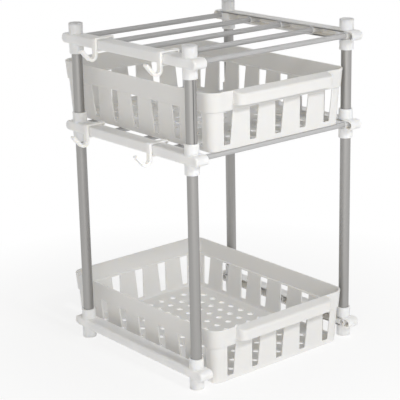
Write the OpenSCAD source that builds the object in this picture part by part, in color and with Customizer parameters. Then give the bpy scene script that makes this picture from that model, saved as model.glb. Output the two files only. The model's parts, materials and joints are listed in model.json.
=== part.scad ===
// Two-tier rack for the cupboard under a sink.
// Six moulded side frames are joined by posts and cross tubes.
// Two perforated trays pull out to the front, and four clip-on hooks slide along the left beams.
// X runs from left to right, Y from front to back and Z up, all in millimetres.
// The origin is the bottom centre of the whole object's box.

/* [Frame] */
// Distance between the left and the right post axes
post_span_x = 302; // [260:1:360]
// Distance between the front and the rear post axes
post_span_y = 268; // [220:1:320]
// Clear height of the lower posts, from sleeve to sleeve
lower_gap = 275; // [200:1:360]
// Clear height of the upper posts, from sleeve to sleeve
upper_gap = 90; // [90:1:200]

/* [Posts and sleeves] */
// Outer diameter of a post tube
post_d = 16; // [14:0.5:18]
// Wall of a post tube
post_wall = 1; // [0.8:0.1:1.6]
// Radial clearance of a post in its sleeve
post_fit = 0.05; // [0.05:0.01:0.1]
// Wall of a sleeve around its post
sleeve_wall = 2.65; // [2:0.05:3.5]
// Height of a sleeve
sleeve_l = 45; // [40:1:60]
// Rounding of a sleeve's rims
rim_r = 0.8; // [0.4:0.1:1.2]

/* [Side beams] */
// Thickness of a beam from its outer to its inner face
beam_w = 22; // [20:0.5:26]
// Height of a beam
beam_h = 15; // [14:0.5:18]
// Wall of a beam around its pockets
beam_wall = 2.2; // [1.6:0.1:2.8]
// Length of a rounded nose beyond the post axis
nose_l = 24; // [22:0.5:32]
// Rounding of a beam's outer edges
outer_edge_r = 3; // [1:0.5:4]
// Rounding of a beam's inner edges
inner_edge_r = 0.8; // [0.4:0.1:1.5]
// Rounding of the pocket corners
pocket_r = 2.4; // [1:0.1:3]

/* [Cross tubes] */
// Outer diameter of a cross tube
tube_d = 8; // [6:0.5:9]
// Wall of a cross tube
tube_wall = 0.8; // [0.6:0.1:1.2]
// Distance of the outermost tubes beyond the post axes
tube_outset = 7; // [5:0.5:8]
// Radial clearance of a tube in its socket
tube_fit = 0.05; // [0.05:0.01:0.1]
// Depth of a tube socket
socket_depth = 14; // [10:0.5:16]
// Wall of the round boss around a socket
boss_wall = 1.95; // [1.5:0.05:2.4]
// Length of a boss beyond the beam's inner face
boss_proud = 0.8; // [0:0.1:1.5]
// Gap at each end of a cross tube
tube_end_gap = 0.1; // [0.1:0.1:0.5]

/* [Caps and feet] */
// Thickness of the cap on a top sleeve
cap_t = 1.2; // [1:0.1:3]
// Thickness of the foot under a bottom sleeve
foot_t = 2.5; // [2:0.1:5]
// Length of the plug on a cap or a foot
plug_l = 12; // [8:0.5:15]
// Radial clearance of a plug in its sleeve
plug_fit = 0.05; // [0.05:0.01:0.1]
// Wall of a plug
plug_wall = 1.8; // [1.2:0.1:2.4]

/* [Trays] */
// Height of a tray
tray_h = 86.5; // [75:0.5:88]
// Gap between a tray's rim and the sleeves on each side
tray_side_gap = 6.75; // [3:0.25:12]
// Reach of a tray's rim beyond the front post axes
tray_front_out = 21; // [15:1:40]
// Reach of a tray's rim beyond the rear post axes
tray_rear_out = 72; // [20:1:90]
// Height of the rim band
band_h = 28.5; // [18:0.5:32]
// Draft of the rim band, from top to bottom
band_draft = 2.5; // [0:0.5:4]
// Step from the rim band in to the wall
band_step = 1.8; // [1:0.1:2.6]
// Draft of the wall below the band
wall_draft = 4.2; // [0:0.2:6]
// Wall of a tray
tray_wall = 2.2; // [1.6:0.1:3]
// Floor of a tray
floor_t = 2.4; // [1.8:0.1:3]
// Corner rounding at the rim
corner_r = 20; // [16:1:30]
// Gap between the upper tray and the tubes that carry it
rest_gap = 0.3; // [0.2:0.1:0.5]

/* [Tray openings] */
// Pitch of the wall slots
slot_pitch = 48.6; // [40:0.1:60]
// Width of a wall slot at its top
slot_top_w = 17; // [10:0.5:24]
// Width of a wall slot at its bottom
slot_bottom_w = 12; // [8:0.5:20]
// Height of a slot's bottom above the tray's underside
slot_z = 8.5; // [5:0.5:20]
// Pitch of the floor holes
hole_pitch = 24; // [20:0.5:36]
// Diameter of a floor hole
hole_d = 10; // [6:0.5:14]
// Solid margin of the floor around the field of holes
floor_margin = 16; // [12:0.5:30]

/* [Tray handle] */
// Width of the handle ledge
handle_w = 184; // [120:1:200]
// Reach of the handle beyond the rim
handle_out = 15; // [12:0.5:22]
// Height of the handle's front lip
handle_lip_h = 15.5; // [10:0.5:20]
// Drop of the handle's top from the rim to its front edge
handle_drop = 4.5; // [2:0.5:8]
// Rounding of the handle's front corners
handle_r = 10; // [6:0.5:12]
// Rounding of the handle's top front edge
handle_edge_r = 2.5; // [1:0.5:4]
// Wall of the handle
handle_wall = 2.2; // [1.6:0.1:3]

/* [Hooks] */
// Width of a hook along the beam
hook_w = 8; // [5:0.5:14]
// Thickness of a hook's strap and arm
hook_t = 4.8; // [3:0.1:6]
// Clearance of a hook around its beam
hook_fit = 0.3; // [0.2:0.1:0.5]
// Thickness of the tab over the beam
tab_t = 3; // [2:0.5:4]
// Reach of the tab beyond the beam's inner face
tab_over = 8; // [5:0.5:10]
// Length of the tab's lip below its underside
tab_lip = 2.4; // [1:0.1:2.8]
// Thickness of the lip that grips under the beam
under_t = 2.5; // [1.5:0.5:4]
// Reach of that lip from the strap
under_l = 11; // [6:0.5:18]
// Depth of the hook's lowest point below the middle of its beam
hook_drop = 23.5; // [20:0.5:40]
// Inner radius of the hook's bend
bend_r = 4.5; // [1:0.5:7]
// Length of the straight arm that turns up
arm_l = 18; // [10:0.5:30]
// Slope of the arm
arm_slope = 47; // [30:0.1:60]
// Places of the hooks on the top beam, front and rear
hook_top_front_y = -85; // [-110:1:-10]
hook_top_rear_y = 68; // [10:1:110]
// Places of the hooks on the middle beam, front and rear
hook_middle_front_y = -55; // [-110:1:-10]
hook_middle_rear_y = 99; // [10:1:110]

/* [Hidden] */

// Sides and ends of the rack, as directions along X and Y
left = -1;
right = 1;
front = -1;
rear = 1;

// Colours
white = [0.93, 0.93, 0.92];
tray_white = [0.95, 0.95, 0.95];
post_grey = [0.66, 0.66, 0.67];
tube_grey = [0.76, 0.76, 0.77];

// Facets of exact rounds and of the trays' drafted corners
$fn = 64;
corner_fn = 32;
// Overshoot of a cut beyond the face that it opens
cut = 1;

// Posts and sleeves
half_x = post_span_x / 2;
half_y = post_span_y / 2;
bore_d = post_d + 2 * post_fit;
sleeve_d = bore_d + 2 * sleeve_wall;
boss_r = tube_d / 2 + tube_fit + boss_wall;
septum_t = 2 * boss_r;
post_seat = (sleeve_l - septum_t) / 2;

// Heights of the beams' middles
bottom_z = foot_t + sleeve_l / 2;
middle_z = bottom_z + sleeve_l + lower_gap;
top_z = middle_z + sleeve_l + upper_gap;

// Cross tubes, the same number at each level that has them
tube_count = 5;
tube_pitch = (post_span_y + 2 * tube_outset) / (tube_count - 1);
tube_front_y = -half_y - tube_outset;
tube_l = post_span_x - beam_w + 2 * socket_depth - 2 * tube_end_gap;

// Trays, in their own frame with the origin at the middle of the underside
tray_w = post_span_x - sleeve_d - 2 * tray_side_gap;
tray_l = post_span_y + tray_front_out + tray_rear_out;
tray_y = (tray_rear_out - tray_front_out) / 2;
band_z = tray_h - band_h;
wall_inset = band_draft + band_step;
floor_inset = wall_inset + wall_draft;
upper_tray_z = middle_z + tube_d / 2 + rest_gap;
lower_tray_z = 0;

// Hooks, in the plane across the beam with the origin at the beam's middle
strap_in = beam_w / 2 + hook_fit;
strap_out = strap_in + hook_t;
bend_x = strap_out + bend_r;
bend_z = -hook_drop + bend_r + hook_t;
arm_turn = 180 - arm_slope;
arm_mid_r = bend_r + hook_t / 2;
tip_x = bend_x + arm_mid_r * sin(arm_slope) + arm_l * cos(arm_slope);
tip_reach = tip_x + hook_t / 2;

// Middle of the whole object's box, which becomes the origin
x_low = -half_x - tip_reach;
x_high = half_x + beam_w / 2;
y_low = -half_y - tray_front_out - handle_out;
y_high = half_y + max(tray_rear_out, nose_l);
origin_x = (x_low + x_high) / 2;
origin_y = (y_low + y_high) / 2;

module to_origin() {
    translate([-origin_x, -origin_y, 0]) children();
}

// Turns an outline in the Y-Z plane into a bar from x_from to x_to
module bar_x(x_from, x_to) {
    translate([x_from, 0, 0])
        rotate([90, 0, 90])
            linear_extrude(height = x_to - x_from)
                children();
}

// Turns an outline in the X-Z plane into a bar of a length, centred on Y
module bar_y(length) {
    rotate([90, 0, 0])
        linear_extrude(height = length, center = true)
            children();
}

module round_rect(w, h, r) {
    square([w - 2 * r, h], center = true);
    square([w, h - 2 * r], center = true);
    for (x = [-1, 1], y = [-1, 1])
        translate([x * (w / 2 - r), y * (h / 2 - r)])
            circle(r = r);
}

// Outline of a beam seen from its outer face, with full round noses
module beam_outline(inset) {
    h = beam_h - 2 * inset;
    reach = half_y + nose_l - beam_h / 2;
    square([2 * reach, h], center = true);
    for (end = [front, rear])
        translate([end * reach, 0])
            circle(d = h);
}

// Section across a beam, with its outer face towards -X
module beam_section() {
    r_out = outer_edge_r;
    r_in = inner_edge_r;
    w = beam_w / 2;
    h = beam_h / 2;
    translate([-w + r_out, -h])
        square([beam_w - r_out - r_in, beam_h]);
    translate([-w, -h + r_out])
        square([r_out, beam_h - 2 * r_out]);
    translate([w - r_in, -h + r_in])
        square([r_in, beam_h - 2 * r_in]);
    for (z = [-1, 1]) {
        translate([-w + r_out, z * (h - r_out)])
            circle(r = r_out);
        translate([w - r_in, z * (h - r_in)])
            circle(r = r_in);
    }
}

module sleeve() {
    r = sleeve_d / 2;
    rotate_extrude()
        union() {
            translate([0, -sleeve_l / 2])
                square([r - rim_r, sleeve_l]);
            translate([0, -sleeve_l / 2 + rim_r])
                square([r, sleeve_l - 2 * rim_r]);
            for (z = [-1, 1])
                translate([r - rim_r, z * (sleeve_l / 2 - rim_r)])
                    circle(r = rim_r);
        }
}

// Open pockets in a beam's inner face, between the round socket bosses
module beam_pockets() {
    pocket_h = beam_h - 2 * beam_wall;
    long_l = post_span_y - sleeve_d - 2 * beam_wall;
    nose_y = half_y + tube_outset;
    difference() {
        bar_x(-beam_w / 2 + beam_wall, beam_w / 2 + boss_proud + cut)
            union() {
                round_rect(long_l, pocket_h, pocket_r);
                difference() {
                    beam_outline(beam_wall);
                    square([2 * nose_y, beam_h], center = true);
                }
            }
        tube_places()
            bar_x(-beam_w / 2, beam_w / 2 + boss_proud)
                circle(r = boss_r);
    }
}

// Repeats its children at each tube's place along the beam
module tube_places() {
    for (i = [0 : tube_count - 1])
        translate([0, tube_front_y + i * tube_pitch, 0])
            children();
}

// A side frame, with its outer face towards -X and its origin between the two post axes
module side_frame_blank() {
    difference() {
        union() {
            difference() {
                intersection() {
                    bar_x(-beam_w / 2, beam_w / 2) beam_outline(0);
                    bar_y(post_span_y + 2 * nose_l) beam_section();
                }
                beam_pockets();
            }
            tube_places()
                bar_x(0, beam_w / 2 + boss_proud)
                    circle(r = boss_r);
            for (end = [front, rear])
                translate([0, end * half_y, 0])
                    sleeve();
        }
        for (end = [front, rear], up = [-1, 1])
            translate([0, end * half_y, up * (septum_t / 2 + (post_seat + cut) / 2)])
                cylinder(d = bore_d, h = post_seat + cut, center = true);
        tube_places()
            bar_x(beam_w / 2 - socket_depth, beam_w / 2 + boss_proud + cut)
                circle(r = tube_d / 2 + tube_fit);
    }
}

module side_frame(side, z) {
    color(white)
        to_origin()
            translate([side * half_x, 0, z])
                rotate([0, 0, side == left ? 0 : 180])
                    side_frame_blank();
}

// A post between the sleeves of two beams, seated at both ends
module post(side, end, z_from, z_to) {
    low = z_from + septum_t / 2;
    high = z_to - septum_t / 2;
    color(post_grey)
        to_origin()
            translate([side * half_x, end * half_y, low])
                difference() {
                    cylinder(d = post_d, h = high - low);
                    translate([0, 0, -cut])
                        cylinder(d = post_d - 2 * post_wall, h = high - low + 2 * cut);
                }
}

module cross_tube(index, z) {
    color(tube_grey)
        to_origin()
            translate([0, tube_front_y + (index - 1) * tube_pitch, z])
                bar_x(-tube_l / 2, tube_l / 2)
                    difference() {
                        circle(d = tube_d);
                        circle(d = tube_d - 2 * tube_wall);
                    }
}

// A hollow plug with a round flange, seen with its flange upwards from z = 0
module plug_with_flange(flange_t, edge_r) {
    r = sleeve_d / 2;
    plug_r = bore_d / 2 - plug_fit;
    rotate_extrude()
        difference() {
            union() {
                intersection() {
                    union() {
                        square([r, flange_t - edge_r]);
                        square([r - edge_r, flange_t]);
                        translate([r - edge_r, flange_t - edge_r])
                            circle(r = edge_r);
                    }
                    square([r + cut, flange_t + cut]);
                }
                translate([0, -plug_l])
                    square([plug_r, plug_l + flange_t / 2]);
            }
            translate([0, -plug_l - cut])
                square([plug_r - plug_wall, plug_l + cut]);
        }
}

module post_cap(side, end) {
    color(white)
        to_origin()
            translate([side * half_x, end * half_y, top_z + sleeve_l / 2])
                plug_with_flange(cap_t, rim_r);
}

module foot_plug(side, end) {
    color(white)
        to_origin()
            translate([side * half_x, end * half_y, foot_t])
                mirror([0, 0, 1])
                    plug_with_flange(foot_t, rim_r);
}

// A block whose sides lean in towards its bottom, with drafted round corners
module drafted_block(w, l, r, h, draft) {
    hull()
        for (x = [-1, 1], y = [-1, 1])
            translate([x * (w / 2 - r), y * (l / 2 - r), 0])
                cylinder(r1 = r - draft, r2 = r, h = h, $fn = corner_fn);
}

// A block of the tray's plan, drawn in from the rim by an inset at its top
module tray_block(inset, h, draft) {
    drafted_block(tray_w - 2 * inset, tray_l - 2 * inset, corner_r - inset, h, draft);
}

// A wall slot that is wider at its top, with small chamfers at its bottom
module slot_outline() {
    top = slot_top_w / 2;
    low = slot_bottom_w / 2;
    chamfer = 1;
    polygon([
        [-top, band_z],
        [-low, slot_z + chamfer],
        [-low + chamfer, slot_z],
        [low - chamfer, slot_z],
        [low, slot_z + chamfer],
        [top, band_z]
    ]);
}

// Number of copies of a feature of some width that fit in a length at a pitch
function copies(length, width, pitch) = floor((length - width) / pitch) + 1;

module wall_slots() {
    across = copies(tray_w - 2 * corner_r, slot_top_w, slot_pitch);
    along = copies(tray_l - 2 * corner_r, slot_top_w, slot_pitch);
    for (i = [0 : across - 1])
        translate([(i - (across - 1) / 2) * slot_pitch, 0, 0])
            bar_y(tray_l + 2 * cut)
                slot_outline();
    for (i = [0 : along - 1])
        translate([0, (i - (along - 1) / 2) * slot_pitch, 0])
            bar_x(-tray_w / 2 - cut, tray_w / 2 + cut)
                slot_outline();
}

module floor_holes() {
    field_w = tray_w - 2 * floor_inset - 2 * floor_margin;
    field_l = tray_l - 2 * floor_inset - 2 * floor_margin;
    across = copies(field_w, hole_d, hole_pitch);
    along = copies(field_l, hole_d, hole_pitch);
    for (i = [0 : across - 1], j = [0 : along - 1])
        translate([
            (i - (across - 1) / 2) * hole_pitch,
            (j - (along - 1) / 2) * hole_pitch,
            -cut
        ])
            cylinder(d = hole_d, h = floor_t + 2 * cut, $fn = 24);
}

// Plan of the handle, with its back at y = 0 and its front towards -Y
module handle_plan(inset) {
    w = handle_w / 2 - inset;
    out = handle_out - inset;
    r = handle_r - inset;
    translate([-w, -out + r])
        square([2 * w, out - r + tray_wall / 2]);
    translate([-w + r, -out])
        square([2 * (w - r), out]);
    for (x = [-1, 1])
        translate([x * (w - r), -out + r])
            circle(r = r);
}

// Side view of the handle, which slopes down from the rim to a rounded front edge
module handle_side(inset) {
    low = tray_h - handle_drop - handle_lip_h;
    front_top = tray_h - handle_drop - inset;
    back_top = tray_h - inset;
    r = handle_edge_r;
    out = handle_out - inset;
    polygon([
        [tray_wall, low - (inset > 0 ? cut : 0)],
        [-out, low - (inset > 0 ? cut : 0)],
        [-out, front_top - r],
        [-out + r, front_top],
        [tray_wall / 2, back_top],
        [tray_wall, back_top]
    ]);
    translate([-out + r, front_top - r])
        circle(r = r);
}

module handle_block(inset) {
    intersection() {
        linear_extrude(height = tray_h)
            handle_plan(inset);
        bar_x(-handle_w / 2, handle_w / 2)
            handle_side(inset);
    }
}

module tray_blank() {
    difference() {
        union() {
            tray_block(wall_inset, band_z, wall_draft);
            translate([0, 0, band_z])
                tray_block(0, band_h, band_draft);
            translate([0, -tray_l / 2, 0])
                handle_block(0);
        }
        translate([0, 0, floor_t])
            tray_block(wall_inset + tray_wall, band_z + tray_wall - floor_t, wall_draft);
        translate([0, 0, band_z + tray_wall])
            tray_block(tray_wall, band_h - tray_wall + cut, band_draft);
        translate([0, -tray_l / 2, 0])
            difference() {
                handle_block(handle_wall);
                translate([0, band_draft + tray_wall / 2, tray_h / 2])
                    cube([handle_w, 2 * band_draft + tray_wall, tray_h + 2 * cut], center = true);
            }
        wall_slots();
        floor_holes();
    }
}

module tray(z) {
    color(tray_white)
        to_origin()
            translate([0, tray_y, z])
                tray_blank();
}

// Section of a hook across the beam, with its strap on the beam's outer side, towards -X
module hook_section() {
    top = beam_h / 2 + hook_fit;
    tab_end = beam_w / 2 + tab_over;
    far = 2 * (bend_r + hook_t);
    // Strap down the outer face
    translate([-strap_out, bend_z])
        square([hook_t, top + tab_t / 2 - bend_z]);
    // Tab over the beam and its lip
    translate([-strap_out + tab_t / 2, top])
        square([strap_out - tab_t / 2 + tab_end, tab_t]);
    translate([-strap_out + tab_t / 2, top + tab_t / 2])
        circle(d = tab_t);
    translate([tab_end - tab_t, top - tab_lip])
        square([tab_t, tab_lip + tab_t / 2]);
    // Lip that grips under the beam
    translate([-strap_in - hook_t / 2, -top - under_t])
        square([hook_t / 2 + under_l, under_t]);
    // Bend, from the strap round to the arm, and the arm
    translate([-bend_x, bend_z]) {
        intersection() {
            difference() {
                circle(r = bend_r + hook_t);
                circle(r = bend_r);
            }
            translate([-far, -2 * far])
                square(2 * far);
            rotate(-arm_turn)
                translate([-far, 0])
                    square(2 * far);
        }
        rotate(-arm_turn) {
            translate([bend_r, -arm_l])
                square([hook_t, arm_l]);
            translate([arm_mid_r, -arm_l])
                circle(d = hook_t);
        }
    }
}

module hook(y, z) {
    color(white)
        to_origin()
            translate([-half_x, y, z])
                bar_y(hook_w)
                    hook_section();
}

side_frame(left, top_z);  // side_frame_top_left
side_frame(right, top_z);  // side_frame_top_right
side_frame(left, middle_z);  // side_frame_middle_left
side_frame(right, middle_z);  // side_frame_middle_right
side_frame(left, bottom_z);  // side_frame_bottom_left
side_frame(right, bottom_z);  // side_frame_bottom_right
post(left, front, middle_z, top_z);  // upper_post_front_left
post(right, front, middle_z, top_z);  // upper_post_front_right
post(left, rear, middle_z, top_z);  // upper_post_rear_left
post(right, rear, middle_z, top_z);  // upper_post_rear_right
post(left, front, bottom_z, middle_z);  // lower_post_front_left
post(right, front, bottom_z, middle_z);  // lower_post_front_right
post(left, rear, bottom_z, middle_z);  // lower_post_rear_left
post(right, rear, bottom_z, middle_z);  // lower_post_rear_right
cross_tube(1, top_z);  // top_tube_1
cross_tube(2, top_z);  // top_tube_2
cross_tube(3, top_z);  // top_tube_3
cross_tube(4, top_z);  // top_tube_4
cross_tube(5, top_z);  // top_tube_5
cross_tube(1, middle_z);  // middle_tube_1
cross_tube(2, middle_z);  // middle_tube_2
cross_tube(3, middle_z);  // middle_tube_3
cross_tube(4, middle_z);  // middle_tube_4
cross_tube(5, middle_z);  // middle_tube_5
post_cap(left, front);  // cap_front_left
post_cap(right, front);  // cap_front_right
post_cap(left, rear);  // cap_rear_left
post_cap(right, rear);  // cap_rear_right
foot_plug(left, front);  // foot_front_left
foot_plug(right, front);  // foot_front_right
foot_plug(left, rear);  // foot_rear_left
foot_plug(right, rear);  // foot_rear_right
tray(upper_tray_z);  // upper_tray
tray(lower_tray_z);  // lower_tray
hook(hook_top_front_y, top_z);  // hook_top_front
hook(hook_top_rear_y, top_z);  // hook_top_rear
hook(hook_middle_front_y, middle_z);  // hook_middle_front
hook(hook_middle_rear_y, middle_z);  // hook_middle_rear
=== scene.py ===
"""Visual model of a two-tier under-sink rack: side frames, posts, cross tubes, trays, hooks."""
import json
import math

import bmesh
import bpy
from mathutils import Matrix, Vector

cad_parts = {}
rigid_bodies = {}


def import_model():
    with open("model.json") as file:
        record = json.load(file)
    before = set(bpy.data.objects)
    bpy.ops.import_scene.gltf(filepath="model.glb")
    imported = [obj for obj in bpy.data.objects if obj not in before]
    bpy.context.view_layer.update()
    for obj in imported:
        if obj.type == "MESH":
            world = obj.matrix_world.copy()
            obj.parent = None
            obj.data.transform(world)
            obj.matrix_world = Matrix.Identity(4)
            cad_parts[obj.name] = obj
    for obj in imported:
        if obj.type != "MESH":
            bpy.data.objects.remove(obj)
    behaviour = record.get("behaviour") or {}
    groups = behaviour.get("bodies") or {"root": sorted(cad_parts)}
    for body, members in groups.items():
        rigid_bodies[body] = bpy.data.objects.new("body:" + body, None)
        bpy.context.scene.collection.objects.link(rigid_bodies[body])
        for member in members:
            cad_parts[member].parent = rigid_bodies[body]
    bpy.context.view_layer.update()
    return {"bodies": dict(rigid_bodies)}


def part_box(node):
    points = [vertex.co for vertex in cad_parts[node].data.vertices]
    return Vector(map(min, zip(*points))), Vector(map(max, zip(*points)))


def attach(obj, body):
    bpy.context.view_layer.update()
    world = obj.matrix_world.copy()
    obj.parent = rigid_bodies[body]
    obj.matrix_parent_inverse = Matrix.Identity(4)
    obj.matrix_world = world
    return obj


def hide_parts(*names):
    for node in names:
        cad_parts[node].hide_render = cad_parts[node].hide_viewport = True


MM = 0.001
SIDES = {"left": -1, "right": 1}
ENDS = ("front", "rear")
LEVELS = ("top", "middle", "bottom")
OVERCUT = 1 * MM
SMOOTH_ANGLE = 38
ROUNDING_STEPS = 5
QUARTER_TURN = [math.pi / 2 * i / ROUNDING_STEPS for i in range(ROUNDING_STEPS + 1)]

# Posts and sleeves
SLEEVE_LENGTH = 45 * MM
SLEEVE_RADIUS = 10.7 * MM
BORE_RADIUS = 8.05 * MM
SEPTUM = 12 * MM
RIM_RADIUS = 0.8 * MM
HAIRLINE = 0.12 * MM
POST_WALL = 1 * MM
CAP_FLANGE = 1.2 * MM
FOOT_FLANGE = 2.5 * MM
PLUG_WALL = 1.8 * MM
PLUG_FIT = 0.05 * MM

# Side beams
BEAM_WIDTH = 22 * MM
BEAM_HEIGHT = 15 * MM
BEAM_WALL = 2.2 * MM
NOSE = 24 * MM
OUTER_ROUNDING = 3 * MM
INNER_ROUNDING = 0.8 * MM
FRAME_EDGE = 0.3 * MM
POCKET_ROUNDING = 2.4 * MM
BOSS_RADIUS = 6 * MM
BOSS_PROUD = 0.8 * MM
SOCKET_RADIUS = 4.05 * MM
SOCKET_DEPTH = 14 * MM
TUBES_PER_LEVEL = 5
TUBE_OUTSET = 7 * MM
TUBE_WALL = 0.8 * MM
TUBE_CHAMFER = 0.2 * MM
TUBE_SEGMENTS = 72

# Trays
BAND_HEIGHT = 28.5 * MM
BAND_DRAFT = 2.5 * MM
BAND_STEP = 1.8 * MM
WALL_DRAFT = 4.2 * MM
TRAY_WALL = 2.2 * MM
TRAY_FLOOR = 2.4 * MM
TRAY_CORNER = 20 * MM
LEAST_CORNER = 2 * MM
TRAY_EDGE = 0.4 * MM
SLOT_PITCH = 48.6 * MM
SLOT_TOP = 17 * MM
SLOT_BOTTOM = 12 * MM
SLOT_FOOT = 8.5 * MM
SLOT_ROUNDING = 1.6 * MM
HOLE_PITCH = 24 * MM
HOLE_RADIUS = 5 * MM
FLOOR_MARGIN = 16 * MM
HANDLE_WIDTH = 184 * MM
HANDLE_REACH = 15 * MM
HANDLE_LIP = 15.5 * MM
HANDLE_DROP = 4.5 * MM
HANDLE_CORNER = 10 * MM
HANDLE_ROUNDING = 3 * MM
HANDLE_WALL = 2.2 * MM
HANDLE_ROOT = 1.2 * MM
HOLLOW_ROUNDING = 1.2 * MM
HOLLOW_ROOT = 0.3 * MM

# Hooks
HOOK_WIDTH = 8 * MM
HOOK_THICKNESS = 4.8 * MM
HOOK_FIT = 0.05 * MM
TAB_THICKNESS = 3 * MM
TAB_OVER = 8 * MM
TAB_LIP = 2.4 * MM
UNDER_THICKNESS = 2.5 * MM
UNDER_LENGTH = 11 * MM
HOOK_DROP = 23.5 * MM
HOOK_BEND = 4.5 * MM
HOOK_ARM = 18 * MM
HOOK_SLOPE = math.radians(47)
HOOK_CORNER = 1.2 * MM
HOOK_EDGE = 0.5 * MM
HOOK_SHARP = 60

# Looks of the plastic and the metal
CLOUD_SCALE = 14
CLOUD_SHADE = 0.965
CLOUD_POLISH = 0.06
GRAIN_SCALE = 2600
GRAIN_STRENGTH = 0.10
GRAIN_DEPTH = 0.04 * MM
# Painted bounced light: where the AO node finds a recess, the colour turns to a warmer, mostly
# lighter recess colour
PAINTED_LIGHT_REACH = 22 * MM
PAINTED_LIGHT_FULL_BELOW = 0.15
PAINTED_LIGHT_NONE_ABOVE = 0.75
LINES_ACROSS = 900
LINES_ALONG = 5
LINE_STRENGTH = 0.16
LINE_DEPTH = 0.03 * MM
LINE_POLISH = 0.08
STREAKS_ACROSS = 60
STREAKS_ALONG = 2.5
STREAK_SHADE = 0.90
STREAK_DARK = 0.3
STREAK_LIGHT = 0.7
SEAM_SHADE = 0.10
SEAM_CORE = 0.006
SEAM_EDGE = 0.018

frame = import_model()


def middle(node):
    """Middle of a CAD node's box."""
    low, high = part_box(node)
    return (Vector(low) + Vector(high)) / 2


POST_X = middle("upper_post_front_right").x - middle("upper_post_front_left").x
POST_Y = middle("upper_post_rear_left").y - middle("upper_post_front_left").y
RACK_CENTRE = (middle("upper_post_front_left") + middle("upper_post_rear_right")) / 2
LEVEL_Z = {level: middle(f"side_frame_{level}_left").z for level in LEVELS}
TUBE_PITCH = (POST_Y + 2 * TUBE_OUTSET) / (TUBES_PER_LEVEL - 1)


class Field:
    """A shader socket that takes part in sums and products, each of which adds its Math node."""

    def __init__(self, finish, socket):
        self.finish = finish
        self.socket = socket

    def math(self, operation, first, second):
        return self.finish.node("ShaderNodeMath", {"operation": operation}, {0: first, 1: second})

    def __add__(self, other):
        return self.math("ADD", self, other)

    def __sub__(self, other):
        return self.math("SUBTRACT", self, other)

    def __rsub__(self, other):
        return self.math("SUBTRACT", other, self)

    def __mul__(self, other):
        return self.math("MULTIPLY", self, other)

    def __rmul__(self, other):
        return self.math("MULTIPLY", other, self)


class Finish:
    """Builds the node tree of a material or of the world."""

    def __init__(self, owner):
        owner.use_nodes = True
        self.owner = owner
        self.tree = owner.node_tree
        self.tree.nodes.clear()

    def feed(self, socket, value):
        """Sets a socket to a value, or links it where the value is a field."""
        if isinstance(value, Field):
            self.tree.links.new(value.socket, socket)
        else:
            socket.default_value = value

    def node(self, kind, settings=None, inputs=None, output=0):
        """Adds a node with its settings, a ramp's stops among them, and gives one output."""
        made = self.tree.nodes.new(kind)
        for name, value in (settings or {}).items():
            if name == "stops":
                for element, (position, shade) in zip(made.color_ramp.elements, value):
                    element.position = position
                    element.color = (shade, shade, shade, 1)
            else:
                setattr(made, name, value)
        for name, value in (inputs or {}).items():
            self.feed(made.inputs[name], value)
        return Field(self, made.outputs[output]) if made.outputs else None

    def place(self, stretch=(1, 1, 1)):
        """The point on the object, in metres, with each axis multiplied by its stretch."""
        point = self.node("ShaderNodeTexCoord", output="Object")
        return self.node("ShaderNodeMapping", None, {"Vector": point, "Scale": stretch})

    def noise(self, point, scale, detail):
        inputs = {"Vector": point, "Scale": scale, "Detail": detail, "Roughness": 0.5}
        return self.node("ShaderNodeTexNoise", None, inputs)

    def ramp(self, value, low, high):
        """0 below low, 1 above high and a straight line between them."""
        return self.node("ShaderNodeValToRGB", {"stops": ((low, 0), (high, 1))}, {"Fac": value})

    def mix(self, factor, first, second):
        """A colour between two colours."""
        blend = self.tree.nodes.new("ShaderNodeMix")
        blend.data_type = "RGBA"
        colour_sockets = [s for s in blend.inputs if s.type == "RGBA"]
        self.feed(blend.inputs[0], factor)
        self.feed(colour_sockets[0], first)
        self.feed(colour_sockets[1], second)
        return Field(self, next(s for s in blend.outputs if s.type == "RGBA"))

    def bump(self, height, strength, distance):
        inputs = {"Height": height, "Strength": strength, "Distance": distance}
        return self.node("ShaderNodeBump", None, inputs)

    def surface(self, inputs):
        """Ends the material in a Principled shader."""
        shader = self.node("ShaderNodeBsdfPrincipled", None, inputs)
        self.node("ShaderNodeOutputMaterial", None, {"Surface": shader})
        return self.owner


def grey(value):
    """An opaque grey."""
    return (value, value, value, 1)


def darker(colour, share):
    """A colour whose red, green and blue are multiplied by a share."""
    return tuple(c * share for c in colour[:3]) + (1,)


def drawn_out(axis, across, along):
    """A stretch of a noise that is drawn out along one axis."""
    stretch = [across] * 3
    stretch[axis] = along
    return stretch


def moulded_plastic(name, colour, painted_recess_light, roughness, glow_depth):
    """Satin moulded plastic that lets some light through, with a fine grain and painted bounced
    light in recesses.
    """
    finish = Finish(bpy.data.materials.new(name))
    point = finish.place()
    clouds = finish.noise(point, CLOUD_SCALE, detail=3)
    grain = finish.noise(point, GRAIN_SCALE, detail=1)
    cloudy = finish.mix(clouds, colour, darker(colour, CLOUD_SHADE))
    # Painted bounced light: the base colour goes over to the recess colour where the AO node finds
    # a recess
    openness = finish.node(
        "ShaderNodeAmbientOcclusion", {"samples": 8}, {"Distance": PAINTED_LIGHT_REACH}, output="AO"
    )
    shade = finish.ramp(openness, PAINTED_LIGHT_FULL_BELOW, PAINTED_LIGHT_NONE_ABOVE)
    return finish.surface({
        "Base Color": finish.mix(shade, painted_recess_light, cloudy),
        "Roughness": roughness - CLOUD_POLISH * clouds,
        "IOR": 1.47,
        "Specular IOR Level": 0.42,
        "Subsurface Weight": 0.7,
        "Subsurface Radius": (1.0, 0.93, 0.8),
        "Subsurface Scale": glow_depth,
        "Normal": finish.bump(grain, GRAIN_STRENGTH, GRAIN_DEPTH),
    })


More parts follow.
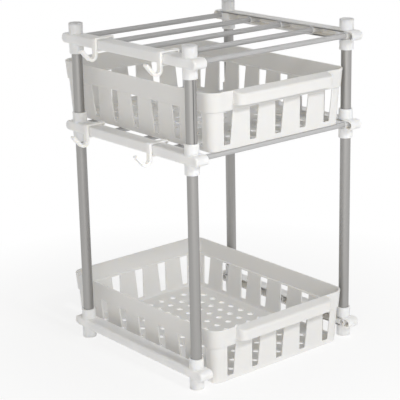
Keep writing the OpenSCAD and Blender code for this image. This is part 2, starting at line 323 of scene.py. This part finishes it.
def drawn_metal(name, axis, colour, metallic, seam):
    """Drawn tube: fine lines along its axis, slow shade changes and, on a post, a welded seam."""
    finish = Finish(bpy.data.materials.new(name))
    fine = finish.place(drawn_out(axis, LINES_ACROSS, LINES_ALONG))
    lines = finish.noise(fine, 1, detail=2)
    slow = finish.place(drawn_out(axis, STREAKS_ACROSS, STREAKS_ALONG))
    streaks = finish.noise(slow, 1, detail=3)
    tone = finish.ramp(streaks, STREAK_DARK, STREAK_LIGHT)
    shade = finish.mix(tone, darker(colour, STREAK_SHADE), colour)
    if seam:
        around = finish.node("ShaderNodeUVMap", {"uv_map": "UVMap"})
        turn = finish.node("ShaderNodeSeparateXYZ", None, {"Vector": around})
        gap = finish.node("ShaderNodeMath", {"operation": "ABSOLUTE"}, {0: turn - 0.5})
        weld = finish.ramp(gap, SEAM_CORE, SEAM_EDGE)
        shade = finish.mix(weld, grey(SEAM_SHADE), shade)
    return finish.surface({
        "Base Color": shade,
        "Metallic": metallic,
        "Roughness": 0.52 - LINE_POLISH * lines,
        "Normal": finish.bump(lines, LINE_STRENGTH, LINE_DEPTH),
    })


# The recess colours below are painted bounced light, not colours of the plastic
PLASTIC = moulded_plastic(
    "frame_white_plastic",
    colour=(0.95, 0.94, 0.92, 1),
    painted_recess_light=(0.98, 0.96, 0.92, 1),
    roughness=0.44,
    glow_depth=8 * MM,
)
TRAY_PLASTIC = moulded_plastic(
    "tray_white_plastic",
    colour=(0.77, 0.768, 0.762, 1),
    painted_recess_light=(0.85, 0.84, 0.83, 1),
    roughness=0.40,
    glow_depth=3 * MM,
)
HOOK_PLASTIC = moulded_plastic(
    "hook_white_plastic",
    colour=(0.96, 0.95, 0.93, 1),
    painted_recess_light=(0.96, 0.94, 0.91, 1),
    roughness=0.42,
    glow_depth=4 * MM,
)
POST_METAL = drawn_metal(
    "post_grey_metal", axis=2, colour=(0.38, 0.374, 0.366, 1), metallic=0.85, seam=True
)
TUBE_METAL = drawn_metal(
    "tube_light_metal", axis=0, colour=(0.50, 0.50, 0.505, 1), metallic=0.15, seam=False
)


def in_scene(name, data):
    """A new object in the scene that shows the given data."""
    made = bpy.data.objects.new(name, data)
    bpy.context.scene.collection.objects.link(made)
    return made


def new_object(name, points, faces):
    """A mesh object in the scene, with coinciding points merged and its faces turned outwards."""
    mesh = bpy.data.meshes.new(name)
    mesh.from_pydata([tuple(p) for p in points], [], faces)
    work = bmesh.new()
    work.from_mesh(mesh)
    bmesh.ops.remove_doubles(work, verts=work.verts, dist=1e-7)
    bmesh.ops.recalc_face_normals(work, faces=work.faces)
    work.to_mesh(mesh)
    work.free()
    return in_scene(name, mesh)


def loft(name, rings):
    """A closed solid through rings of equally many points, with a flat face over each end ring."""
    count = len(rings[0])
    points = [p for ring in rings for p in ring]
    faces = []
    for level in range(len(rings) - 1):
        low = level * count
        high = low + count
        for i in range(count):
            j = (i + 1) % count
            faces.append((low + i, low + j, high + j, high + i))
    faces.append(tuple(range(count - 1, -1, -1)))
    faces.append(tuple(range(len(points) - count, len(points))))
    return new_object(name, points, faces)


def lathe(name, profile, segments=64):
    """A solid turned about Z from a closed profile of (radius, height)."""
    count = len(profile)
    points = []
    for step in range(segments):
        turn = 2 * math.pi * step / segments
        points += [(r * math.cos(turn), r * math.sin(turn), z) for r, z in profile]
    faces = []
    for step in range(segments):
        here = step * count
        there = (step + 1) % segments * count
        for i in range(count):
            j = (i + 1) % count
            if profile[i][0] > 0 or profile[j][0] > 0:
                faces.append((here + i, there + i, there + j, here + j))
    return new_object(name, points, faces)


def arc(centre, radius, start, end, steps):
    """Points of an arc from one angle to another in degrees, both ends included."""
    turns = [math.radians(start + (end - start) * i / steps) for i in range(steps + 1)]
    return [(centre[0] + radius * math.cos(t), centre[1] + radius * math.sin(t)) for t in turns]


def circle(radius, sides):
    """Points of a full circle, each of them once."""
    return arc((0, 0), radius, 0, 360 - 360 / sides, sides - 1)


def rounded_rectangle(width, height, radius, steps=6):
    """Outline of a rectangle with round corners, with its middle at the origin."""
    x = width / 2 - radius
    y = height / 2 - radius
    corners = ((x, y, 0), (-x, y, 90), (-x, -y, 180), (x, -y, 270))
    return [p for cx, cy, turn in corners for p in arc((cx, cy), radius, turn, turn + 90, steps)]


def prism(name, outline, low, high, to_point):
    """A solid between two copies of an outline, which to_point turns into points in space."""
    return loft(name, [[to_point(a, b, level) for a, b in outline] for level in (low, high)])


def across_x(a, b, level):
    """An outline in Y and Z, extruded along X."""
    return (level, a, b)


def across_y(a, b, level):
    """An outline in X and Z, extruded along Y."""
    return (a, level, b)


def across_z(a, b, level):
    """An outline in X and Y, extruded along Z."""
    return (a, b, level)


def settle(made):
    """Applies an object's modifiers to its mesh."""
    graph = bpy.context.evaluated_depsgraph_get()
    mesh = bpy.data.meshes.new_from_object(made.evaluated_get(graph))
    made.modifiers.clear()
    made.data = mesh


def combine(made, tool, operation):
    """Joins a tool to an object, or cuts it away, and deletes the tool."""
    change = made.modifiers.new("combine", "BOOLEAN")
    change.object = tool
    change.operation = operation
    change.solver = "EXACT"
    settle(made)
    bpy.data.objects.remove(tool)


def smooth(made):
    """Shades the faces smoothly, apart from the sharp edges between them."""
    for face in made.data.polygons:
        face.use_smooth = True
    made.data.set_sharp_from_angle(angle=math.radians(SMOOTH_ANGLE))


def soften(made, width, angle=SMOOTH_ANGLE):
    """Rounds the edges that are sharper than an angle and smooths the shading of the rest."""
    bevel = made.modifiers.new("edges", "BEVEL")
    bevel.width = width
    bevel.segments = 2
    bevel.limit_method = "ANGLE"
    bevel.angle_limit = math.radians(angle)
    bevel.use_clamp_overlap = False
    bevel.miter_outer = "MITER_ARC"
    settle(made)
    smooth(made)
    weigh = made.modifiers.new("shading", "WEIGHTED_NORMAL")
    weigh.keep_sharp = True
    weigh.weight = 80
    settle(made)


def copy_tree():
    """Geometry nodes that repeat a piece on a grid of points, which is centred on X and Y."""
    tree = bpy.data.node_groups.new("copies_on_a_grid", "GeometryNodeTree")
    tree.interface.new_socket("Geometry", in_out="INPUT", socket_type="NodeSocketGeometry")
    for name, kind in (
        ("Piece", "NodeSocketObject"),
        ("Count X", "NodeSocketInt"),
        ("Count Y", "NodeSocketInt"),
        ("Length X", "NodeSocketFloat"),
        ("Length Y", "NodeSocketFloat"),
        ("Material", "NodeSocketMaterial"),
    ):
        tree.interface.new_socket(name, in_out="INPUT", socket_type=kind)
    tree.interface.new_socket("Geometry", in_out="OUTPUT", socket_type="NodeSocketGeometry")
    nodes = tree.nodes
    given = nodes.new("NodeGroupInput")
    grid = nodes.new("GeometryNodeMeshGrid")
    piece = nodes.new("GeometryNodeObjectInfo")
    copies = nodes.new("GeometryNodeInstanceOnPoints")
    real = nodes.new("GeometryNodeRealizeInstances")
    coat = nodes.new("GeometryNodeSetMaterial")
    result = nodes.new("NodeGroupOutput")
    for source, output, target, entry in (
        (given, "Count X", grid, "Vertices X"),
        (given, "Count Y", grid, "Vertices Y"),
        (given, "Length X", grid, "Size X"),
        (given, "Length Y", grid, "Size Y"),
        (given, "Piece", piece, "Object"),
        (grid, "Mesh", copies, "Points"),
        (piece, "Geometry", copies, "Instance"),
        (copies, "Instances", real, "Geometry"),
        (real, "Geometry", coat, "Geometry"),
        (given, "Material", coat, "Material"),
        (coat, "Geometry", result, "Geometry"),
    ):
        tree.links.new(source.outputs[output], target.inputs[entry])
    return tree


COPIES = copy_tree()


def repeated(name, piece, counts, pitches, material):
    """Copies of a piece on a centred grid, as one plain mesh; the piece is deleted."""
    made = in_scene(name, bpy.data.meshes.new(name))
    spread = made.modifiers.new("copies", "NODES")
    spread.node_group = COPIES
    values = {
        "Piece": piece,
        "Count X": counts[0],
        "Count Y": counts[1],
        "Length X": (counts[0] - 1) * pitches[0],
        "Length Y": (counts[1] - 1) * pitches[1],
        "Material": material,
    }
    for socket in COPIES.interface.items_tree:
        if socket.name in values and socket.in_out == "INPUT":
            spread[socket.identifier] = values[socket.name]
    settle(made)
    bpy.data.objects.remove(piece)
    return made


def place_mesh(made, place, half_turn=False):
    """Turns an object's mesh half round Z if asked, and moves it to its place."""
    turn = Matrix.Rotation(math.pi, 4, "Z") if half_turn else Matrix.Identity(4)
    made.data.transform(Matrix.Translation(place) @ turn)
    made.data.update()


def copy_of(source, name):
    """A copy of an object with a mesh of its own."""
    made = in_scene(name, source.data.copy())
    made.data.name = name
    return made


def hand_over(made, node, material):
    """Gives a finished piece its material, and lets it stand for its CAD node."""
    made.data.materials.clear()
    made.data.materials.append(material)
    for face in made.data.polygons:
        face.material_index = 0
    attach(made, node if node in frame["bodies"] else "rack")
    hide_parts(node)


# Side frames

def beam_outline(inset):
    """Outline of a beam seen from its side, with full round noses."""
    steps = 14
    radius = BEAM_HEIGHT / 2 - inset
    reach = POST_Y / 2 + NOSE - BEAM_HEIGHT / 2
    return arc((reach, 0), radius, -90, 90, steps) + arc((-reach, 0), radius, 90, 270, steps)


def beam():
    """A solid beam with a wide rounding round its outer face and a small one inside."""
    half = BEAM_WIDTH / 2
    rings = []
    for t in QUARTER_TURN:
        inset = OUTER_ROUNDING * (1 - math.sin(t))
        rings.append((inset, -half + OUTER_ROUNDING * (1 - math.cos(t))))
    for t in reversed(QUARTER_TURN[::2]):
        inset = INNER_ROUNDING * (1 - math.sin(t))
        rings.append((inset, half - INNER_ROUNDING * (1 - math.cos(t))))
    outlines = [[across_x(y, z, x) for y, z in beam_outline(inset)] for inset, x in rings]
    return loft("beam", outlines)


def along_beam(name, radius, low, high):
    """Round bars along X at the places of all cross tubes."""
    bar = prism("bar", circle(radius, 40), low, high, across_x)
    return repeated(name, bar, (1, TUBES_PER_LEVEL), (0, TUBE_PITCH), PLASTIC)


def pockets():
    """What the open pockets of a beam take away, between its round bosses."""
    low = -BEAM_WIDTH / 2 + BEAM_WALL
    high = BEAM_WIDTH / 2 + BOSS_PROUD + OVERCUT
    length = POST_Y - 2 * SLEEVE_RADIUS - 2 * BEAM_WALL
    outline = rounded_rectangle(length, BEAM_HEIGHT - 2 * BEAM_WALL, POCKET_ROUNDING)
    taken = prism("pockets", outline, low, high, across_x)
    noses = prism("nose_pockets", beam_outline(BEAM_WALL), low, high, across_x)
    between = POST_Y / 2 + TUBE_OUTSET
    kept_outline = rounded_rectangle(2 * between, BEAM_HEIGHT, 1 * MM, 1)
    kept = prism("kept", kept_outline, low - OVERCUT, high + OVERCUT, across_x)
    combine(noses, kept, "DIFFERENCE")
    combine(taken, noses, "UNION")
    bosses = along_beam("bosses", BOSS_RADIUS, low - 2 * OVERCUT, high + 2 * OVERCUT)
    combine(taken, bosses, "DIFFERENCE")
    return taken


def sleeve(rim_top, rim_bottom):
    """A sleeve with a bore at each end and a solid middle, which takes the ends of two posts."""
    half = SLEEVE_LENGTH / 2
    wall = SEPTUM / 2
    profile = [(0, wall), (BORE_RADIUS, wall), (BORE_RADIUS, half)]
    top = arc((SLEEVE_RADIUS - rim_top, half - rim_top), rim_top, 0, 90, 4)
    bottom = arc((SLEEVE_RADIUS - rim_bottom, rim_bottom - half), rim_bottom, 270, 360, 4)
    profile += reversed(top)
    profile += reversed(bottom)
    profile += [(BORE_RADIUS, -half), (BORE_RADIUS, -wall), (0, -wall)]
    return lathe("sleeve", profile)


def bore():
    """What the bore above a sleeve's solid middle takes away, and some more beyond its end."""
    length = SLEEVE_LENGTH - SEPTUM
    return prism("bore", circle(BORE_RADIUS, 64), SEPTUM / 2, SEPTUM / 2 + length, across_z)


def side_frame_blank(rim_top, rim_bottom):
    """One side frame, with its outer face towards -X and its middle at the origin."""
    made = beam()
    combine(made, pockets(), "DIFFERENCE")
    combine(made, along_beam("bosses", BOSS_RADIUS, 0, BEAM_WIDTH / 2 + BOSS_PROUD), "UNION")
    two = (1, 2)
    apart = (0, POST_Y)
    sleeves = repeated("sleeves", sleeve(rim_top, rim_bottom), two, apart, PLASTIC)
    combine(made, sleeves, "UNION")
    for upwards in (False, True):
        hole = bore()
        if not upwards:
            hole.data.transform(Matrix.Scale(-1, 4, (0, 0, 1)))
            hole.data.flip_normals()
        combine(made, repeated("bores", hole, two, apart, PLASTIC), "DIFFERENCE")
    high = BEAM_WIDTH / 2 + BOSS_PROUD + OVERCUT
    sockets = along_beam("sockets", SOCKET_RADIUS, BEAM_WIDTH / 2 - SOCKET_DEPTH, high)
    combine(made, sockets, "DIFFERENCE")
    soften(made, FRAME_EDGE)
    return made


def side_frames():
    """Two side frames at each level; a rim under a cap or over a foot shows only a hairline."""
    rims = {
        "top": (HAIRLINE, RIM_RADIUS),
        "middle": (RIM_RADIUS, RIM_RADIUS),
        "bottom": (RIM_RADIUS, HAIRLINE),
    }
    for level in LEVELS:
        blank = side_frame_blank(*rims[level])
        for side_name, side in SIDES.items():
            node = f"side_frame_{level}_{side_name}"
            made = copy_of(blank, f"{node}_moulding")
            place = Vector((RACK_CENTRE.x + side * POST_X / 2, RACK_CENTRE.y, LEVEL_Z[level]))
            place_mesh(made, place, half_turn=side_name == "right")
            hand_over(made, node, PLASTIC)
        bpy.data.objects.remove(blank)


def plug(node, flange, upwards):
    """A cap or foot: a round flange as wide as its sleeve, over a hollow plug."""
    low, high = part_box(node)
    centre = middle(node)
    depth = high[2] - low[2] - flange
    radius = SLEEVE_RADIUS
    outer = BORE_RADIUS - PLUG_FIT
    inner = outer - PLUG_WALL
    profile = [(0, flange)]
    profile += reversed(arc((radius - RIM_RADIUS, flange - RIM_RADIUS), RIM_RADIUS, 0, 90, 4))
    profile += [(radius, HAIRLINE), (radius - HAIRLINE, 0), (outer, 0), (outer, -depth)]
    profile += [(inner, -depth), (inner, 0), (0, 0)]
    made = lathe(f"{node}_moulding", profile)
    if upwards:
        place = Vector((centre.x, centre.y, high[2] - flange))
    else:
        made.data.transform(Matrix.Rotation(math.pi, 4, "X"))
        place = Vector((centre.x, centre.y, low[2] + flange))
    place_mesh(made, place)
    smooth(made)
    hand_over(made, node, PLASTIC)


def caps_and_feet():
    """A cap on each top sleeve and a foot under each bottom one."""
    for end in ENDS:
        for side in SIDES:
            plug(f"cap_{end}_{side}", CAP_FLANGE, upwards=True)
            plug(f"foot_{end}_{side}", FOOT_FLANGE, upwards=False)


# Tubes

# The way the seam of each post faces, in degrees from +X towards +Y
SEAM_TURN = {
    "upper_front_left": -102,
    "upper_front_right": 70,
    "upper_rear_left": 35,
    "upper_rear_right": 100,
    "lower_front_left": 60,
    "lower_front_right": 95,
    "lower_rear_left": 20,
    "lower_rear_right": 130,
}


def wrap_map(made):
    """Maps a tube: across, its turns about Z from 0 to 1, and upwards, its height."""
    chart = made.data.uv_layers.new(name="UVMap")
    for face in made.data.polygons:
        points = [
            made.data.vertices[made.data.loops[corner].vertex_index].co
            for corner in face.loop_indices
        ]
        turns = [math.atan2(p.y, p.x) / (2 * math.pi) % 1 for p in points]
        if max(turns) - min(turns) > 0.5:
            turns = [t + 1 if t < 0.5 else t for t in turns]
        for corner, t, p in zip(face.loop_indices, turns, points):
            chart.data[corner].uv = (t, p.z)


def tube(node, axis, wall, seam_turn, material):
    """A drawn tube in the box of its node, with its seam opposite where its round map closes."""
    low, high = (Vector(corner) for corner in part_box(node))
    centre = (low + high) / 2
    radius = (high - low)[(axis + 1) % 3] / 2
    half = (high - low)[axis] / 2
    inner = radius - wall
    edge = radius - TUBE_CHAMFER
    profile = [
        (inner, -half), (edge, -half), (radius, -half + TUBE_CHAMFER),
        (radius, half - TUBE_CHAMFER), (edge, half), (inner, half),
    ]
    made = lathe(f"{node}_metal", profile, TUBE_SEGMENTS)
    wrap_map(made)
    made.data.transform(Matrix.Rotation(math.radians(seam_turn - 180), 4, "Z"))
    if axis == 0:
        made.data.transform(Matrix.Rotation(math.pi / 2, 4, "Y"))
    place_mesh(made, centre)
    smooth(made)
    hand_over(made, node, material)


def posts_and_tubes():
    """The upright posts, each with its seam, and the cross tubes of the two upper levels."""
    for height in ("upper", "lower"):
        for end in ENDS:
            for side in SIDES:
                turn = SEAM_TURN[f"{height}_{end}_{side}"]
                tube(f"{height}_post_{end}_{side}", 2, POST_WALL, turn, POST_METAL)
    for level in ("top", "middle"):
        for number in range(1, TUBES_PER_LEVEL + 1):
            tube(f"{level}_tube_{number}", 0, TUBE_WALL, 0, TUBE_METAL)


# Trays

TRAY_LOW, TRAY_HIGH = (Vector(corner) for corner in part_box("upper_tray"))
TRAY_HEIGHT = TRAY_HIGH.z - TRAY_LOW.z
TRAY_WIDTH = TRAY_HIGH.x - TRAY_LOW.x
TRAY_LENGTH = TRAY_HIGH.y - TRAY_LOW.y - HANDLE_REACH
BAND_Z = TRAY_HEIGHT - BAND_HEIGHT
WALL_INSET = BAND_DRAFT + BAND_STEP


def tray_ring(inset, z):
    """The tray's plan outline at a height, drawn in by an inset."""
    radius = max(TRAY_CORNER - inset, LEAST_CORNER)
    outline = rounded_rectangle(TRAY_WIDTH - 2 * inset, TRAY_LENGTH - 2 * inset, radius, 14)
    return [(x, y, z) for x, y in outline]


def tray_shell():
    """The tray without its openings: floor, drafted wall, rim band and rounded rim."""
    foot = WALL_INSET + WALL_DRAFT
    foot_round = 2.5 * MM
    floor_round = 3 * MM
    step_round = 1.2 * MM
    outer_lip = 1.0 * MM
    inner_lip = 0.9 * MM
    ease = 0.6 * MM
    tuck = 0.5 * MM
    rows = arc((foot + foot_round, foot_round), foot_round, 270, 180, 4)
    rows += [(WALL_INSET + tuck, BAND_Z - ease), (WALL_INSET, BAND_Z)]
    rows += arc((BAND_DRAFT + step_round, BAND_Z + step_round), step_round, 270, 180, 4)
    rows += arc((outer_lip, TRAY_HEIGHT - outer_lip), outer_lip, 180, 90, 3)
    rows += arc((TRAY_WALL - inner_lip, TRAY_HEIGHT - inner_lip), inner_lip, 90, 0, 3)
    rows += [(BAND_DRAFT + TRAY_WALL, BAND_Z + TRAY_WALL + ease)]
    rows += [(BAND_DRAFT + TRAY_WALL + ease, BAND_Z + TRAY_WALL)]
    rows += [(WALL_INSET + TRAY_WALL, BAND_Z + TRAY_WALL - ease)]
    floor_edge = foot + TRAY_WALL
    rows += arc((floor_edge + floor_round, TRAY_FLOOR + floor_round), floor_round, 180, 270, 4)
    return loft("tray", [tray_ring(inset, z) for inset, z in rows])


def wall_face(z):
    """How far the band's outer face stands inside the rim at a height."""
    return BAND_DRAFT * min(1, (TRAY_HEIGHT - z) / BAND_HEIGHT)


def handle_ring(inset, into_wall, height):
    """A plan outline of the handle; height gives each point's z from its y."""
    half = HANDLE_WIDTH / 2 - inset
    reach = -HANDLE_REACH + inset
    radius = HANDLE_CORNER - inset
    outline = arc((-half + radius, reach + radius), radius, 180, 270, 10)
    outline += arc((half - radius, reach + radius), radius, 270, 360, 10)
    ring = [(x, y, height(y)) for x, y in outline]
    back = into_wall + wall_face(height(0))
    left = (-half, back, height(back))
    right = (half, back, height(back))
    return [left] + ring + [right]


def handle_form(name, inset, into_wall, rounding, lip_z):
    """A solid with the handle's sloping top and rounded top edge, drawn in by an inset."""

    def top(y):
        """Height of the handle's top at a distance in front of the rim."""
        return TRAY_HEIGHT - inset - HANDLE_DROP * min(1, max(0, -y / HANDLE_REACH))

    rings = [handle_ring(inset, into_wall, lambda y: lip_z)]
    for t in QUARTER_TURN:
        drop = rounding * (1 - math.sin(t))
        draw = rounding * (1 - math.cos(t))
        rings.append(handle_ring(inset + draw, into_wall, lambda y, d=drop: top(y) - d))
    return loft(name, rings)


def handle():
    """The handle ledge: a shell that is open towards the floor."""
    lip_z = TRAY_HEIGHT - HANDLE_DROP - HANDLE_LIP
    made = handle_form("handle", 0, HANDLE_ROOT, HANDLE_ROUNDING, lip_z)
    hollow_z = lip_z - OVERCUT
    hollow = handle_form("hollow", HANDLE_WALL, HOLLOW_ROOT, HOLLOW_ROUNDING, hollow_z)
    combine(made, hollow, "DIFFERENCE")
    made.data.transform(Matrix.Translation((0, -TRAY_LENGTH / 2, 0)))
    return made


def copies_in(length, width, pitch):
    """How many copies of some width fit in a length at a pitch."""
    return math.floor((length - width) / pitch) + 1


def slot_outline():
    """A wall slot that is wider at its top, with rounded bottom corners."""
    top = SLOT_TOP / 2
    low = SLOT_BOTTOM / 2
    radius = SLOT_ROUNDING
    outline = [(top, BAND_Z), (-top, BAND_Z)]
    outline += arc((-low + radius, SLOT_FOOT + radius), radius, 180, 270, 4)
    outline += arc((low - radius, SLOT_FOOT + radius), radius, 270, 360, 4)
    return outline


def tray_openings():
    """Cutters of the wall slots and the floor holes."""
    reach = TRAY_WIDTH / 2 + OVERCUT
    side_slot = prism("side_slot", slot_outline(), -reach, reach, across_x)
    reach = TRAY_LENGTH / 2 + OVERCUT
    end_slot = prism("end_slot", slot_outline(), -reach, reach, across_y)
    hole = prism("hole", circle(HOLE_RADIUS, 28), -OVERCUT, TRAY_FLOOR + OVERCUT, across_z)
    straight_x = TRAY_WIDTH - 2 * TRAY_CORNER
    straight_y = TRAY_LENGTH - 2 * TRAY_CORNER
    margin = 2 * (WALL_INSET + WALL_DRAFT + FLOOR_MARGIN)
    side_count = copies_in(straight_y, SLOT_TOP, SLOT_PITCH)
    end_count = copies_in(straight_x, SLOT_TOP, SLOT_PITCH)
    holes_x = copies_in(TRAY_WIDTH - margin, 2 * HOLE_RADIUS, HOLE_PITCH)
    holes_y = copies_in(TRAY_LENGTH - margin, 2 * HOLE_RADIUS, HOLE_PITCH)
    yield repeated("side_slots", side_slot, (1, side_count), (0, SLOT_PITCH), TRAY_PLASTIC)
    yield repeated("end_slots", end_slot, (end_count, 1), (SLOT_PITCH, 0), TRAY_PLASTIC)
    yield repeated("holes", hole, (holes_x, holes_y), (HOLE_PITCH, HOLE_PITCH), TRAY_PLASTIC)


def trays():
    """Two trays of the same moulding."""
    blank = tray_shell()
    combine(blank, handle(), "UNION")
    for cutter in tray_openings():
        combine(blank, cutter, "DIFFERENCE")
    soften(blank, TRAY_EDGE)
    for node in ("upper_tray", "lower_tray"):
        made = copy_of(blank, f"{node}_moulding")
        low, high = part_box(node)
        rim_middle = (low[1] + HANDLE_REACH + high[1]) / 2
        place_mesh(made, Vector((middle(node).x, rim_middle, low[2])))
        hand_over(made, node, TRAY_PLASTIC)
    bpy.data.objects.remove(blank)


# Hooks

def hook_outline():
    """Section of a hook across its beam, anticlockwise, with the beam's middle at the origin."""
    strap_in = BEAM_WIDTH / 2 + HOOK_FIT
    strap_out = strap_in + HOOK_THICKNESS
    top = BEAM_HEIGHT / 2 + HOOK_FIT
    tab_end = BEAM_WIDTH / 2 + TAB_OVER
    bend_x = -strap_out - HOOK_BEND
    bend_z = -HOOK_DROP + HOOK_BEND + HOOK_THICKNESS
    outer = HOOK_BEND + HOOK_THICKNESS
    slope = math.degrees(HOOK_SLOPE)
    turn = -180 + slope
    along = Vector((-math.cos(HOOK_SLOPE), math.sin(HOOK_SLOPE)))
    side = Vector((math.cos(math.radians(turn)), math.sin(math.radians(turn))))
    tip = Vector((bend_x, bend_z)) + side * (HOOK_BEND + HOOK_THICKNESS / 2) + along * HOOK_ARM
    corner = HOOK_CORNER
    nib = 0.6 * MM
    lip_x = tab_end - TAB_THICKNESS
    points = arc((-strap_out + TAB_THICKNESS, top), TAB_THICKNESS, 90, 180, 8)
    points += reversed(arc((bend_x, bend_z), HOOK_BEND, turn, 0, 8))
    points += arc(tip, HOOK_THICKNESS / 2, turn + 180, turn + 360, 10)
    points += arc((bend_x, bend_z), outer, turn, 0, 14)
    under = -top - UNDER_THICKNESS
    points += [(-strap_in, under)]
    points += arc((-strap_in + UNDER_LENGTH - corner, under + corner), corner, -90, 90, 6)
    points += [(-strap_in, -top), (-strap_in, top), (lip_x, top)]
    points += arc((lip_x + nib, top - TAB_LIP + nib), nib, 180, 270, 3)
    points += arc((tab_end - corner, top - TAB_LIP + corner), corner, 270, 360, 4)
    points += arc((tab_end - corner, top + TAB_THICKNESS - corner), corner, 0, 90, 4)
    return points


def hooks():
    """Four hooks of the same moulding, on the left beams of the two upper levels."""
    half = HOOK_WIDTH / 2
    for node in ("hook_top_front", "hook_top_rear", "hook_middle_front", "hook_middle_rear"):
        made = prism(f"{node}_moulding", hook_outline(), -half, half, across_y)
        soften(made, HOOK_EDGE, angle=HOOK_SHARP)
        level = "top" if "top" in node else "middle"
        beam_x = RACK_CENTRE.x - POST_X / 2
        place_mesh(made, Vector((beam_x, middle(node).y, LEVEL_Z[level])))
        hand_over(made, node, HOOK_PLASTIC)


# Studio

CAMERA_AZIMUTH = -39.52
CAMERA_ELEVATION = 16.853
CAMERA_ROLL = -1.193
CAMERA_PLACE = Vector((-1294.25, -1535.45, 833.34)) * MM
FOCAL_PIXELS = 1356.29
PICTURE_PIXELS = 400
SENSOR_WIDTH = 36

# Lamps and floor, with places and lengths in metres
KEY_PLACE = (-0.05, -1.95, 1.64)
KEY_TARGET = (0, -0.37, 0.05)
KEY_COLOUR = (0.98, 0.99, 1)
KEY_POWER = 81
KEY_RADIUS = 0.16
KEY_CONE = math.radians(30.1)
KEY_BLEND = 0.08

FILL_PLACE = (-1.2, -1.5, 0.8)
FILL_TARGET = (0, 0, 0.25)
FILL_COLOUR = (1, 0.975, 0.93)
FILL_POWER = 10
FILL_WIDTH = 1.2

FLOOR_REACH = 12
FLOOR_DROP = 0.2 * MM
FLOOR_PAINT = 0.93
FLOOR_NEAR = 0.2
FLOOR_FAR = 0.6
FLOOR_GLOW_NEAR = 0.78
FLOOR_GLOW_UNSEEN = 0.55

SKY_POWER = 0.58
SKY_LOW = (1, 0.98, 0.95, 1)
SKY_HIGH = (0.52, 0.51, 0.49, 1)
SKY_FROM = 0.15
SKY_TO = 0.85


def looking(direction):
    """The turn of a camera or a lamp that faces in a direction."""
    return direction.to_track_quat("-Z", "Y").to_matrix().to_4x4()


def camera():
    """The camera of the photograph, whose place is given from the middle of the rack."""
    data = bpy.data.cameras.new("camera")
    data.sensor_width = SENSOR_WIDTH
    data.lens = FOCAL_PIXELS / PICTURE_PIXELS * SENSOR_WIDTH
    made = in_scene("camera", data)
    azimuth = math.radians(CAMERA_AZIMUTH)
    elevation = math.radians(CAMERA_ELEVATION)
    level = math.cos(elevation)
    back = Vector((math.sin(azimuth) * level, -math.cos(azimuth) * level, math.sin(elevation)))
    roll = Matrix.Rotation(math.radians(CAMERA_ROLL), 4, "Z")
    place = Vector((RACK_CENTRE.x, RACK_CENTRE.y, 0)) + CAMERA_PLACE
    made.matrix_world = Matrix.Translation(place) @ looking(-back) @ roll
    bpy.context.scene.camera = made


def lamp(data, power, place, target):
    """Puts a lamp at a place and points it at a target."""
    data.energy = power
    made = in_scene(data.name, data)
    place = Vector(place)
    made.matrix_world = Matrix.Translation(place) @ looking(Vector(target) - place)


def seen_rays(finish):
    """1 for the rays that show the background: camera, mirror and see-through ones."""
    rays = [
        finish.node("ShaderNodeLightPath", output=f"Is {kind} Ray")
        for kind in ("Camera", "Glossy", "Transmission")
    ]
    total = rays[0] + rays[1] + rays[2]
    return finish.node("ShaderNodeMath", {"operation": "MINIMUM"}, {0: total, 1: 1.0})


def floor():
    """A pale floor that takes the object's shadow near it and is white further away.

    It glows by itself, most of all further away. Rays that light the object see only a share
    of that glow.
    """
    x = FLOOR_REACH
    made = new_object("floor", [(-x, -x, 0), (x, -x, 0), (x, x, 0), (-x, x, 0)], [(0, 1, 2, 3)])
    made.data.transform(Matrix.Translation((0, 0, -FLOOR_DROP)))
    finish = Finish(bpy.data.materials.new("floor_white"))
    point = finish.place()
    length = {"operation": "LENGTH"}
    distance = finish.node("ShaderNodeVectorMath", length, {0: point}, output="Value")
    limits = {"From Min": FLOOR_NEAR, "From Max": FLOOR_FAR, "To Min": FLOOR_GLOW_NEAR}
    far = finish.node("ShaderNodeMapRange", {"clamp": True}, {"Value": distance, **limits})
    paint = finish.node("ShaderNodeBsdfDiffuse", None, {"Color": grey(FLOOR_PAINT)})
    glow = finish.node("ShaderNodeEmission", None, {"Color": grey(1), "Strength": 1.0})
    share = far * ((1 - FLOOR_GLOW_UNSEEN) * seen_rays(finish) + FLOOR_GLOW_UNSEEN)
    mixed = finish.node("ShaderNodeMixShader", None, {"Fac": share, 1: paint, 2: glow})
    finish.node("ShaderNodeOutputMaterial", None, {"Surface": mixed})
    made.data.materials.append(finish.owner)


def world():
    """A pale sky, darker overhead, that shows as white to the camera and in mirrors."""
    sky = bpy.data.worlds.new("studio")
    bpy.context.scene.world = sky
    finish = Finish(sky)
    direction = finish.node("ShaderNodeTexCoord", output="Generated")
    height = finish.node("ShaderNodeSeparateXYZ", None, {"Vector": direction}, output="Z")
    overhead = finish.ramp(height, SKY_FROM, SKY_TO)
    shade = finish.mix(overhead, SKY_LOW, SKY_HIGH)
    ambient = finish.node("ShaderNodeBackground", None, {"Color": shade, "Strength": SKY_POWER})
    white = finish.node("ShaderNodeBackground", None, {"Color": grey(1), "Strength": 1.0})
    seen = seen_rays(finish)
    mixed = finish.node("ShaderNodeMixShader", None, {"Fac": seen, 1: ambient, 2: white})
    finish.node("ShaderNodeOutputWorld", None, {"Surface": mixed})


def studio():
    """The lamps, the floor, the sky and the camera."""
    key = bpy.data.lights.new("key", "SPOT")
    key.shadow_soft_size = KEY_RADIUS
    key.spot_size = KEY_CONE
    key.spot_blend = KEY_BLEND
    key.color = KEY_COLOUR
    lamp(key, KEY_POWER, KEY_PLACE, KEY_TARGET)
    fill = bpy.data.lights.new("fill", "AREA")
    fill.shape = "DISK"
    fill.size = FILL_WIDTH
    fill.color = FILL_COLOUR
    lamp(fill, FILL_POWER, FILL_PLACE, FILL_TARGET)
    floor()
    world()
    camera()
    bpy.context.scene.view_settings.view_transform = "Standard"


side_frames()
caps_and_feet()
posts_and_tubes()
trays()
hooks()
studio()
